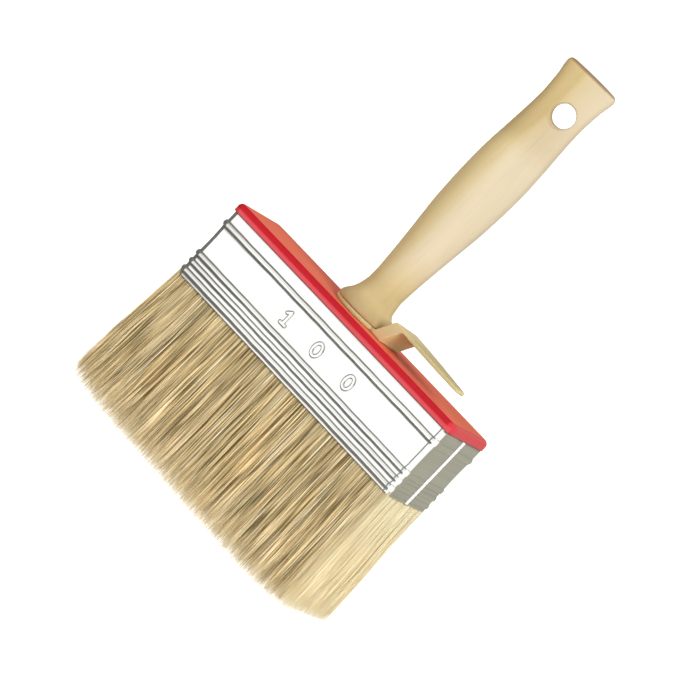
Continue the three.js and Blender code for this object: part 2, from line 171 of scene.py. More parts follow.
def outline(w, d, r, front, right, back, left, corner=10):
    """Points round a rounded rectangle, counter-clockwise from above, with outward normals.
    front, right, back and left are the positions of the columns along each straight side."""
    pts = []
    hx, hy = w / 2, d / 2
    pts += [(x, -hy, 0, -1) for x in front]
    arc = lambda a0, cx, cy: [(cx + r * math.cos(a), cy + r * math.sin(a), math.cos(a), math.sin(a))
                              for a in [math.radians(a0 + 90 * i / corner) for i in range(corner + 1)]]
    pts += arc(-90, hx - r, -hy + r)
    pts += [(hx, y, 1, 0) for y in right]
    pts += arc(0, hx - r, hy - r)
    pts += [(x, hy, 0, 1) for x in back]
    pts += arc(90, -hx + r, hy - r)
    pts += [(-hx, y, -1, 0) for y in left]
    pts += arc(180, -hx + r, -hy + r)
    return np.array(pts)


def inner(lo, hi, step):
    n = max(1, int(round((hi - lo) / step)))
    return [lo + (hi - lo) * i / n for i in range(1, n)]


def sealed(rings, bottom=True, top=True, flip=False):
    """Rings (rows, cols, 3) closed at both ends by a fan to the middle point."""
    rows, cols = rings.shape[:2]
    v = rings.reshape(-1, 3)
    quads = ring_faces(rows, cols, flip=flip)
    tris = []
    extra = []
    c = np.arange(cols)
    if bottom:
        k = len(v) + len(extra)
        extra.append(rings[0].mean(axis=0))
        t = np.stack([np.full(cols, k), (c + 1) % cols, c], axis=-1)
        tris.append(t[:, ::-1] if flip else t)
    if top:
        k = len(v) + len(extra)
        extra.append(rings[-1].mean(axis=0))
        o = (rows - 1) * cols
        t = np.stack([np.full(cols, k), o + c, o + (c + 1) % cols], axis=-1)
        tris.append(t[:, ::-1] if flip else t)
    if extra:
        v = np.concatenate([v, np.array(extra)])
    return v, [quads, np.concatenate(tris)] if tris else [quads]


# ------------------------------------------------------------------- materials
def srgb(r, g, b):
    f = lambda c: c / 12.92 if c <= 0.04045 else ((c + 0.055) / 1.055) ** 2.4
    return (f(r / 255), f(g / 255), f(b / 255), 1.0)


class Mat:
    """Small helper round a node tree with one Principled shader."""

    def __init__(self, name, roughness=0.5, metallic=0.0, **sockets):
        self.m = bpy.data.materials.new(name)
        self.m.use_nodes = True
        self.nt = self.m.node_tree
        self.b = self.nt.nodes["Principled BSDF"]
        self.b.inputs["Roughness"].default_value = roughness
        self.b.inputs["Metallic"].default_value = metallic
        for k, v in sockets.items():
            self.b.inputs[k.replace("_", " ")].default_value = v
        self.coord = self.node("ShaderNodeTexCoord")

    def node(self, kind, **props):
        n = self.nt.nodes.new(kind)
        for k, v in props.items():
            setattr(n, k, v)
        return n

    def link(self, a, b):
        self.nt.links.new(a, b)

    def mapped(self, scale):
        n = self.node("ShaderNodeMapping")
        n.inputs["Scale"].default_value = scale
        self.link(self.coord.outputs["Object"], n.inputs["Vector"])
        return n.outputs["Vector"]

    def noise(self, scale, vector=None, detail=3.0, rough=0.5, stretch=(1, 1, 1), distort=0.0):
        n = self.node("ShaderNodeTexNoise")
        n.inputs["Scale"].default_value = scale
        n.inputs["Detail"].default_value = detail
        n.inputs["Roughness"].default_value = rough
        n.inputs["Distortion"].default_value = distort
        self.link(vector if vector is not None else self.mapped(stretch), n.inputs["Vector"])
        return n.outputs["Fac"]

    def ramp(self, fac, stops, interpolation="LINEAR"):
        n = self.node("ShaderNodeValToRGB")
        n.color_ramp.interpolation = interpolation
        e = n.color_ramp.elements
        while len(e) < len(stops):
            e.new(0.5)
        for el, (p, c) in zip(e, stops):
            el.position = p
            el.color = c if hasattr(c, "__len__") else (c, c, c, 1)
        self.link(fac, n.inputs["Fac"])
        return n.outputs["Color"]

    def mix(self, fac, a, b, blend="MIX"):
        n = self.node("ShaderNodeMix", data_type="RGBA", blend_type=blend)
        for sock, val in ((n.inputs["Factor"], fac), (n.inputs["A"], a), (n.inputs["B"], b)):
            pass
        ins = [s for s in n.inputs if s.enabled]
        for s, val in zip(ins, (fac, a, b)):
            if hasattr(val, "is_output") or isinstance(val, bpy.types.NodeSocket):
                self.link(val, s)
            else:
                s.default_value = val
        return [o for o in n.outputs if o.enabled][0]

    def math(self, op, a, b=None, c=None, clamp=False):
        n = self.node("ShaderNodeMath", operation=op, use_clamp=clamp)
        for s, val in zip(n.inputs, (a, b, c)):
            if val is None:
                continue
            if isinstance(val, bpy.types.NodeSocket):
                self.link(val, s)
            else:
                s.default_value = val
        return n.outputs[0]

    def attribute(self, name):
        n = self.node("ShaderNodeAttribute", attribute_name=name)
        return n.outputs["Fac"]

    def bump(self, height, strength, distance):
        n = self.node("ShaderNodeBump")
        n.inputs["Strength"].default_value = strength
        n.inputs["Distance"].default_value = distance
        self.link(height, n.inputs["Height"])
        self.link(n.outputs["Normal"], self.b.inputs["Normal"])

    def color(self, socket):
        self.link(socket, self.b.inputs["Base Color"])

    def rough(self, socket):
        self.link(socket, self.b.inputs["Roughness"])


def put(ob, name, values, kind="FLOAT"):
    at = ob.data.attributes.new(name, kind, "POINT")
    at.data.foreach_set("value", np.asarray(values, dtype=np.float32))


def wood_material():
    m = Mat("handle_wood", roughness=0.42, Coat_Weight=0.1, Coat_Roughness=0.3,
            Subsurface_Weight=0.08, Subsurface_Scale=0.004)
    m.b.inputs["Subsurface Radius"].default_value = (1.0, 0.6, 0.3)
    grain = m.noise(190, stretch=(1, 1, 0.055), detail=5, rough=0.6, distort=0.4)
    broad = m.noise(38, stretch=(1, 1, 0.16), detail=2, rough=0.5)
    pores = m.noise(900, stretch=(1, 1, 0.035), detail=2, rough=0.5)
    # painted light and shade: pale where the broad face is lit, painted shade towards one flank, the foot and the end
    a = m.ramp(m.attribute("painted_flank_shade"), [(0.0, srgb(219, 202, 169)), (0.7, srgb(212, 190, 140)), (1.0, srgb(200, 176, 122))])
    a = m.mix(1.0, a, m.ramp(broad, [(0.3, 0.95), (0.72, 1.0)]), "MULTIPLY")
    # painted shade: a dark rim on the end roll-over, a darker foot base and a darker neck
    a = m.mix(m.attribute("painted_dark_shade"), a, srgb(150, 116, 80))
    g = m.ramp(grain, [(0.32, 0.93), (0.62, 1.0)])
    p = m.ramp(pores, [(0.28, 0.92), (0.42, 1.0)])
    c = m.mix(1.0, a, g, "MULTIPLY")
    c = m.mix(0.6, c, p, "MULTIPLY")
    m.color(c)
    m.rough(m.ramp(grain, [(0.3, 0.48), (0.7, 0.38)]))
    m.bump(grain, 0.05, 0.0002)
    return m.m


def hook_material():
    m = Mat("hook_plastic", roughness=0.45, Subsurface_Weight=0.08, Subsurface_Scale=0.003)
    m.b.inputs["Subsurface Radius"].default_value = (1.0, 0.6, 0.3)
    n = m.noise(260, detail=4)
    s = m.noise(60, detail=2)
    c = m.ramp(s, [(0.3, srgb(206, 184, 134)), (0.7, srgb(214, 194, 146))])
    # painted shade on the plate under the foot and the outer tongue
    c = m.mix(m.attribute("shade"), c, m.mix(1.0, c, (0.79, 0.82, 0.76, 1), "MULTIPLY"))
    m.color(c)
    m.rough(m.ramp(n, [(0.3, 0.42), (0.7, 0.5)]))
    m.bump(n, 0.06, 0.0001)
    return m.m


def red_material():
    m = Mat("cap_red_plastic", roughness=0.26, Coat_Weight=0.0)
    face_and_painted_light_zone = m.attribute("face_and_painted_light_zone")
    n = m.noise(420, detail=3)
    s = m.noise(45, detail=2)
    # painted light and shade by zone: a lit pink-red side, darker at its foot, painted shade on the rounded edge, a
    # painted orange glare on the top
    c = m.ramp(face_and_painted_light_zone, [(0.0, srgb(176, 56, 60)), (0.1, srgb(212, 57, 68)), (0.22, srgb(212, 42, 56)), (0.42, srgb(188, 24, 38)),
                      (0.62, srgb(190, 30, 42)), (0.9, srgb(230, 110, 79))])
    m.color(m.mix(1.0, c, m.ramp(s, [(0.3, 0.93), (0.7, 1.0)]), "MULTIPLY"))
    gloss = m.ramp(n, [(0.3, 0.2), (0.7, 0.28)])
    flat = m.ramp(face_and_painted_light_zone, [(0.6, 0.0), (0.9, 1.0)])
    m.rough(m.mix(flat, gloss, (0.5, 0.5, 0.5, 1)))
    m.link(m.ramp(face_and_painted_light_zone, [(0.0, 0.75), (0.2, 0.6), (0.42, 0.12), (0.7, 0.15), (1.0, 0.22)]), m.b.inputs["Specular IOR Level"])
    m.bump(n, 0.05, 0.00006)
    return m.m


def tin_material(name="band_tinplate"):
    m = Mat(name, roughness=0.12, metallic=1.0)
    roll = m.noise(300, stretch=(0.05, 0.05, 1), detail=4, rough=0.6)
    blot = m.noise(70, detail=3)
    # painted shade: a dark grey, less metal and less specular, laid along the bead edges, the seam lap, the front
    # corner and the numeral outlines
    painted_crease_shade = m.attribute("painted_crease_shade")
    base = m.ramp(roll, [(0.3, srgb(222, 222, 219)), (0.7, srgb(236, 236, 233))])
    dark = m.ramp(blot, [(0.3, srgb(74, 72, 67)), (0.7, srgb(108, 106, 100))])
    lap_and_painted_highlight = m.attribute("lap_and_painted_highlight")
    c = m.mix(painted_crease_shade, base, dark)
    # a pale, non-metal colour on the seam lap, and a painted highlight on the beads at the rounded front corner
    m.color(m.mix(lap_and_painted_highlight, c, (0.95, 0.945, 0.90, 1)))
    m.link(m.ramp(m.math("MAXIMUM", lap_and_painted_highlight, m.math("MULTIPLY", painted_crease_shade, 0.75)), [(0.2, 1.0), (0.8, 0.0)]), m.b.inputs["Metallic"])
    m.link(m.ramp(painted_crease_shade, [(0.2, 0.5), (0.6, 0.1)]), m.b.inputs["Specular IOR Level"])
    m.rough(m.ramp(blot, [(0.3, 0.10), (0.7, 0.15)]))
    m.bump(roll, 0.02, 0.00004)
    return m.m


def steel_material(name, tint):
    m = Mat(name, roughness=0.3, metallic=1.0)
    n = m.noise(500, detail=4)
    m.color(m.ramp(n, [(0.3, srgb(*[t - 16 for t in tint])), (0.7, srgb(*tint))]))
    m.rough(m.ramp(n, [(0.3, 0.25), (0.7, 0.4)]))
    m.bump(n, 0.05, 0.00005)
    return m.m


def resin_material():
    m = Mat("setting_resin", roughness=0.3, Coat_Weight=0.3)
    n = m.noise(120, detail=4)
    m.color(m.ramp(n, [(0.3, srgb(112, 76, 38)), (0.7, srgb(146, 102, 54))]))
    m.rough(m.ramp(n, [(0.3, 0.25), (0.7, 0.4)]))
    m.bump(n, 0.15, 0.0003)
    return m.m


def spacer_material():
    m = Mat("spacer_wood", roughness=0.7)
    n = m.noise(160, stretch=(0.06, 1, 1), detail=5, rough=0.6)
    m.color(m.ramp(n, [(0.3, srgb(176, 138, 88)), (0.7, srgb(208, 176, 124))]))
    m.rough(m.ramp(n, [(0.3, 0.6), (0.7, 0.8)]))
    m.bump(n, 0.2, 0.0002)
    return m.m


def bristle_material():
    m = Mat("hog_bristle", roughness=0.5, Sheen_Weight=0.0)
    m.b.inputs["Specular IOR Level"].default_value = 0.15
    tint = m.attribute("tint")        # 0 dark hair, 1 blond hair; painted shade inside the brush and painted light on the +X end are added in too
    along = m.attribute("along")      # 0 at the band, 1 at the tip
    lit_end_calm = m.attribute("lit_end_calm")        # 1 on the +X end, where the painted light fades out the painted streak shade
    strand = m.node("ShaderNodeAttribute", attribute_name="strand").outputs["Vector"]   # follows each hair from its root
    streak = m.noise(7600, vector=strand, detail=1, rough=0.5)
    band = m.noise(800, stretch=(1, 0.3, 0.02), detail=1, rough=0.5)
    hair = m.ramp(tint, [(0.0, srgb(96, 66, 24)), (0.2, srgb(154, 120, 62)), (0.42, srgb(220, 190, 130)),
                         (0.72, srgb(241, 220, 168)), (1.0, srgb(247, 240, 211))])
    # paler tips: partly the hairs' own paler ends, partly painted light
    tip = m.ramp(along, [(0.0, 0.0), (0.65, 0.0), (0.9, 0.4), (1.0, 0.75)])
    c = m.mix(tip, hair, srgb(252, 238, 198))
    # painted shade and painted highlights: fine dark and bright streaks along each hair
    s = m.ramp(streak, [(0.38, (0.24, 0.20, 0.13, 1)), (0.48, (0.82, 0.79, 0.73, 1)), (0.60, (1.27, 1.26, 1.34, 1))])
    calm = m.math("MAXIMUM", lit_end_calm, m.ramp(along, [(0.8, 0.0), (1.0, 0.35)]))
    s = m.mix(1.0, s, m.ramp(band, [(0.38, 0.93), (0.6, 1.03)]), "MULTIPLY")
    s = m.mix(calm, s, (1.0, 1.0, 1.0, 1))
    c = m.mix(1.0, c, s, "MULTIPLY")
    # painted shade near the band, painted light towards the tips
    m.color(m.mix(1.0, c, m.ramp(along, [(0.0, 0.92), (0.22, 0.96), (0.5, 1.08), (0.75, 1.15), (1.0, 1.17)]), "MULTIPLY"))
    m.rough(m.ramp(streak, [(0.3, 0.38), (0.7, 0.5)]))
    return m.m


WOOD, HOOKM, RED, TIN = wood_material(), hook_material(), red_material(), tin_material()
BRIS = bristle_material()


# ---------------------------------------------------------------------- handle
SECTIONS = np.array([
    # above the band, offset from the screw axis, half width, half thickness, squareness
    [4.8, 0.0, 10.76, 10.46, 2.0],
    [5.05, 0.0, 10.72, 10.42, 2.0],
    [5.3, 0.0, 10.78, 10.48, 2.0],
    [6.0, -0.096, 10.519, 10.3, 2.0],
    [7.0, -0.371, 9.744, 9.6, 2.0],
    [8.0, -0.645, 8.743, 8.7, 2.0],
    [9.0, -0.987, 7.734, 7.85, 2.0],
    [10.0, -1.106, 7.159, 7.2, 2.0],
    [12.0, -0.965, 6.663, 6.6, 2.0],
    [15.0, -0.883, 6.279, 6.25, 2.0],
    [18.0, -0.77, 6.388, 6.25, 2.0],
    [22.0, -0.699, 6.658, 6.4, 2.0],
    [26.0, -0.617, 6.999, 6.7, 2.05],
    [30.0, -0.535, 7.388, 7.05, 2.05],
    [35.0, -0.446, 7.882, 7.45, 2.1],
    [40.0, -0.372, 8.425, 7.85, 2.1],
    [45.0, -0.261, 8.925, 8.2, 2.15],
    [50.0, -0.151, 9.213, 8.45, 2.15],
    [56.0, -0.018, 9.481, 8.6, 2.15],
    [62.0, 0.104, 9.551, 8.5, 2.15],
    [68.0, 0.195, 9.386, 8.0, 2.2],
    [74.0, 0.348, 9.024, 7.1, 2.25],
    [80.0, 0.432, 8.616, 5.9, 2.35],
    [85.0, 0.546, 8.356, 5.0, 2.5],
    [89.0, 0.643, 8.292, 4.6, 2.6],
    [93.0, 0.693, 8.509, 4.45, 2.7],
    [96.5, 0.775, 8.822, 4.4, 2.8],
    [99.5, 0.804, 9.333, 4.4, 2.8],
    [101.1, 0.816, 9.486, 4.4, 2.8],
])


def lathe_cutter(profile, segments, axis, at):
    """A solid of revolution from (radius, height) pairs about axis 'Y' or 'Z'."""
    th = 2 * np.pi * np.arange(segments) / segments
    p = np.array(profile)
    rings = np.zeros((len(p), segments, 3))
    for i, (r, h) in enumerate(p):
        if axis == "Z":
            rings[i, :, 0], rings[i, :, 1], rings[i, :, 2] = r * np.cos(th), r * np.sin(th), h
        else:
            rings[i, :, 0], rings[i, :, 1], rings[i, :, 2] = r * np.cos(th), h, -r * np.sin(th)
    rings += np.array(at)
    v, f = sealed(rings)
    return make_mesh("cutter", v, f)


def build_handle():
    zs = np.unique(np.concatenate([
        np.linspace(4.80, 12, 42), np.linspace(12, 80, 90), np.linspace(80, 100, 60), np.linspace(100, 101.1, 6)]))
    cols = 96
    th = 2 * np.pi * np.arange(cols) / cols
    par = [pchip(SECTIONS[:, 0], SECTIONS[:, i], zs) for i in range(1, 5)]
    rings = []
    for k, z in enumerate(zs):
        cx, a, b, n = [p[k] for p in par]
        c, s = np.cos(th), np.sin(th)
        rings.append(np.stack([cx + a * np.sign(c) * np.abs(c) ** (2 / n), b * np.sign(s) * np.abs(s) ** (2 / n),
                               np.full(cols, ZT + z)], axis=-1))
    # the end is domed a little and rolls over with a radius of about 1.8 mm
    cx, a, b, n = [p[-1] for p in par]
    for t in np.linspace(0.1, 1, 12):
        ang = t * math.pi / 2
        inset = 1.7 * (1 - math.cos(ang))
        c, s = np.cos(th), np.sin(th)
        rings.append(np.stack([cx + (a - inset) * np.sign(c) * np.abs(c) ** (2 / n),
                               (b - inset) * np.sign(s) * np.abs(s) ** (2 / n),
                               np.full(cols, ZT + 101.1 + 1.55 * math.sin(ang))], axis=-1))
    for t in (0.75, 0.45, 0.2):
        c, s = np.cos(th), np.sin(th)
        rings.append(np.stack([cx + (a - 1.7) * t * np.sign(c) * np.abs(c) ** (2 / n),
                               (b - 1.7) * t * np.sign(s) * np.abs(s) ** (2 / n),
                               np.full(cols, ZT + 102.65 + 0.22 * (1 - t * t))], axis=-1))
    rings = np.array(rings)
    top = rings[:, :, 2] > ZT + 98
    lean = np.clip((rings[:, :, 2] - ZT - 98) / 3, 0, 1)
    rings[:, :, 2] -= 0.018 * (rings[:, :, 0] - 0.8) * lean * top
    v, f = sealed(rings)
    ob = scratch("handle_build", make_mesh("handle_build", v, f))
    N, flare, spread, throat = 12, 1.2, 0.8, 3.3
    prof = [(HOLE_R + spread, -8.0)]
    prof += [(HOLE_R + spread * (1 - math.sqrt(max(0, 1 - (i / N) ** 2))), -(throat + flare * i / N)) for i in range(N, -1, -1)]
    prof += [(HOLE_R + spread * (1 - math.sqrt(max(0, 1 - (i / N) ** 2))), throat + flare * i / N) for i in range(N + 1)]
    prof += [(HOLE_R + spread, 8.0)]
    hole = scratch("c1", lathe_cutter(prof, 72, "Y", (HOLE_DX, 0, HOLE_Z)))
    pilot = scratch("c2", lathe_cutter([(2.5, ZT + 2), (2.5, ZT + 27.5)], 32, "Z", (0, 0, 0)))
    for c in (hole, pilot):
        m = ob.modifiers.new("cut", "BOOLEAN")
        m.operation, m.solver, m.object = "DIFFERENCE", "EXACT", c
    r = ob.modifiers.new("remesh", "REMESH")
    r.mode, r.voxel_size, r.use_smooth_shade = "VOXEL", 0.00030, True
    s = ob.modifiers.new("soft", "SMOOTH")
    s.factor, s.iterations = 0.5, 4
    apply_modifiers(ob, WOOD)
    co = np.empty(len(ob.data.vertices) * 3)
    ob.data.vertices.foreach_get("co", co)
    co = co.reshape(-1, 3) * 1000
    up = co[:, 2] - ZT
    lat = (co[:, 0] - np.interp(up, SECTIONS[:, 0], SECTIONS[:, 1])) / np.interp(up, SECTIONS[:, 0], SECTIONS[:, 2])
    step = lambda x, a, b: (lambda t: t * t * (3 - 2 * t))(np.clip((x - a) / (b - a), 0, 1))
    # painted shade: darker towards one flank, on the foot and on the upper neck
    painted_flank_shade = 0.7 * step(-lat, 0.0, 0.6)
    painted_flank_shade = np.maximum(painted_flank_shade, 0.9 * (1 - step(up, 13, 32)))
    painted_flank_shade = painted_flank_shade + 0.35 * step(up, 70, 86) * step(-lat, -0.35, 0.35) + 0.25 * step(up, 68, 79) * step(-lat, -0.9, -0.1)
    put(ob, "painted_flank_shade", np.clip(painted_flank_shade, 0, 1))
    # painted shade for the end roll-over, the base of the foot and the neck
    neck = step(up, 68, 79) * (1 - 0.8 * step(up, 84, 96))
    put(ob, "painted_dark_shade", np.clip((up - 101.7) / 0.7, 0, 1) * 0.9 + 0.38 * (1 - step(up, 5.5, 11)) + 0.15 * neck)
    ob.data.transform(Matrix.Translation((FOOT_X / 1000, 0, 0)) @ Matrix.Rotation(math.radians(HANDLE_TURN), 4, "Z"))
    drop(hole, pilot)
    ob.name = ob.data.name = "handle_grip"
    return ob


handle = build_handle()
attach(handle, "root"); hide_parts("handle")


# ------------------------------------------------------------------------ hook
def build_hook():
    src = frame["nodes"]["bucket_hook"]
    me = src.data.copy()
    me.transform(src.matrix_world)
    ob = scratch("hook_build", me)
    r = ob.modifiers.new("remesh", "REMESH")
    r.mode, r.voxel_size, r.use_smooth_shade = "VOXEL", 0.0002, True
    s = ob.modifiers.new("soft", "SMOOTH")
    s.factor, s.iterations = 0.5, 5
    apply_modifiers(ob, HOOKM)
    co = np.empty(len(ob.data.vertices) * 3)
    ob.data.vertices.foreach_get("co", co)
    co = co.reshape(-1, 3)
    low = np.clip((ZT + 4.1) / 1000 - co[:, 2], 0, None)
    co[:, 2] -= low / 0.00045 * 0.00027
    co[:, 2] = np.maximum(co[:, 2], (CAP_TOP + 0.02) / 1000)
    ob.data.vertices.foreach_set("co", co.ravel())
    ob.data.update()
    # painted shade: the round plate under the foot and the outer half of the tongue are painted darker
    r = np.hypot(co[:, 0] * 1000 - FOOT_X, co[:, 1] * 1000)
    up = co[:, 2] * 1000 - ZT
    plate = np.clip((12.0 - r) / 1.0, 0, 1)
    tongue = np.clip((r - 19.0) / 5.0, 0, 1)
    put(ob, "shade", np.clip(plate + tongue * 0.9, 0, 1))
    ob.name = ob.data.name = "hook_moulding"
    return ob


hook = build_hook()
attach(hook, "root"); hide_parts("bucket_hook")


# ------------------------------------------------------------------------- cap
def build_cap():
    w, d, r, dx = 101.0, 30.5, 2.8, -0.25
    side = outline(w, d, r, inner(-w / 2 + r, w / 2 - r, 2.5), inner(-d / 2 + r, d / 2 - r, 1.5),
                   inner(-w / 2 + r, w / 2 - r, 2.5)[::-1], inner(-d / 2 + r, d / 2 - r, 1.5)[::-1], 12)
    rows = [(ZT + 0.06, 1.2), (ZT + 0.06, 0.1), (ZT + 0.16, 0.0), (ZT + 0.5, 0.0), (ZT + 1.05, 0.0), (ZT + 1.4, 0.0), (ZT + 1.7, 0.0)]
    for i in range(1, 11):
        a = i / 10 * math.pi / 2
        rows.append((ZT + 1.7 + (CAP_TOP - 0.06 - ZT - 1.7) * math.sin(a), 1.6 * (1 - math.cos(a))))
    rings = []
    for z, inset in rows:
        p = np.zeros((len(side), 3))
        p[:, 0] = side[:, 0] - side[:, 2] * inset + dx
        p[:, 1] = side[:, 1] - side[:, 3] * inset
        p[:, 2] = z
        rings.append(p)
    # shallow crown: shrink the last outline towards the middle
    base = rings[-1].copy()
    for t in (0.9, 0.7, 0.4, 0.1):
        p = base.copy()
        p[:, 1] *= t
        p[:, 0] = np.sign(p[:, 0]) * np.maximum(np.abs(p[:, 0]) - (1 - t) * 13, 0)
        p[:, 2] = CAP_TOP - 0.06 * t * t
        rings.append(p)
    v, f = sealed(np.array(rings))
    ob = make_object("cap_moulding", make_mesh("cap_moulding", v, f), RED)
    # 0 on the upright side, 0.5 on the rounded edge, 1 on the finely textured top; besides roughness and specular it
    # picks painted light and shade: a lit side, painted shade on the rounded edge, a painted orange glare on the top
    ring_zone = np.array([0.0, 0.0, 0.0, 0.07, 0.12, 0.24, 0.38] + [0.48] * 8 + [0.75, 1.0] + [1.0] * 4)
    # on the +X end the rounded edge gets the bright painted colour of the lit side instead of the painted shade
    end = np.clip((side[:, 0] - 47.6) / 1.6, 0, 1)[None, :]
    face_and_painted_light_zone = np.broadcast_to(ring_zone[:, None], (len(ring_zone), len(side)))
    edge = (ring_zone > 0.2) & (ring_zone < 0.6)
    face_and_painted_light_zone = np.where(edge[:, None], face_and_painted_light_zone + (0.14 - face_and_painted_light_zone) * end, face_and_painted_light_zone)
    face_and_painted_light_zone = np.concatenate([face_and_painted_light_zone.ravel(), [0.0, 1.0]])
    put(ob, "face_and_painted_light_zone", face_and_painted_light_zone)
    return ob


def build_skirt():
    """The part of the cap that plugs into the band: the skirt."""
    w, d = FW - 2.2, FD - 2.2
    z0, z1 = ZT - 7.5, ZT + 0.3
    obs = []
    def tube(w, d, r, t, za, zb, name):
        side = outline(w, d, r, inner(-w / 2 + r, w / 2 - r, 10), inner(-d / 2 + r, d / 2 - r, 6),
                       inner(-w / 2 + r, w / 2 - r, 10)[::-1], inner(-d / 2 + r, d / 2 - r, 6)[::-1], 5)
        rings = []
        for z, i in ((za, 0.0), (zb, 0.0), (zb, t), (za, t)):
            rr = max(r - i, 0.2)
            p = np.zeros((len(side), 3))
            p[:, 0] = side[:, 0] - side[:, 2] * min(i, r - 0.2) - np.sign(side[:, 0]) * max(0, i - (r - 0.2)) * 1
            p[:, 1] = side[:, 1] - side[:, 3] * min(i, r - 0.2) - np.sign(side[:, 1]) * max(0, i - (r - 0.2)) * 1
            p[:, 2] = z
            rings.append(p)
        rings = np.array(rings)
        return make_mesh(name, rings.reshape(-1, 3), [ring_faces(4, len(side), closed_rows=True)], smooth=False)
    return make_object("cap_skirt", tube(w, d, 1.8, 1.6, z0, z1, "cap_skirt"), RED)


def build_boss():
    rings = lambda ra, rb, za, zb, n: None
    th = 2 * np.pi * np.arange(40) / 40
    prof = [(2.6, ZT - 1.8), (6.3, ZT - 1.8), (6.5, ZT - 1.6), (6.5, ZT + 0.3), (2.6, ZT + 0.3)]
    R = np.array([[(FOOT_X + r * math.cos(t), r * math.sin(t), z) for t in th] for r, z in prof])
    return make_object("cap_boss", make_mesh("cap_boss", R.reshape(-1, 3), [ring_faces(len(prof), 40, closed_rows=True)]), RED)


cap = build_cap()
skirt = build_skirt()
boss = build_boss()
for o in (cap, skirt, boss):
    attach(o, "root"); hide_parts("cap")


# --------------------------------------------------------------------- ferrule
# Generic numerals for the width in millimetres, raised in the sheet.
def stroke_distance(px, pz, strokes):
    best = np.full(px.shape, 1e9)
    for (x0, z0), (x1, z1) in strokes:
        dx, dz = x1 - x0, z1 - z0
        t = np.clip(((px - x0) * dx + (pz - z0) * dz) / (dx * dx + dz * dz), 0, 1)
        best = np.minimum(best, np.hypot(px - x0 - t * dx, pz - z0 - t * dz))
    return best


def numerals():
    out = []
    zc = ZT - 10.9
    def zero(cx):
        pts = [(cx + 1.5 * math.cos(a), zc + 2.2 * math.sin(a)) for a in np.linspace(0, 2 * np.pi, 25)]
        return list(zip(pts[:-1], pts[1:]))
    def one(cx):
        return [((cx, zc - 2.2), (cx, zc + 2.2)), ((cx, zc + 2.2), (cx - 1.3, zc + 1.2)), ((cx - 1.1, zc - 2.2), (cx + 1.1, zc - 2.2))]
    out += one(-12.5) + zero(1.5) + zero(16.0)
    return out


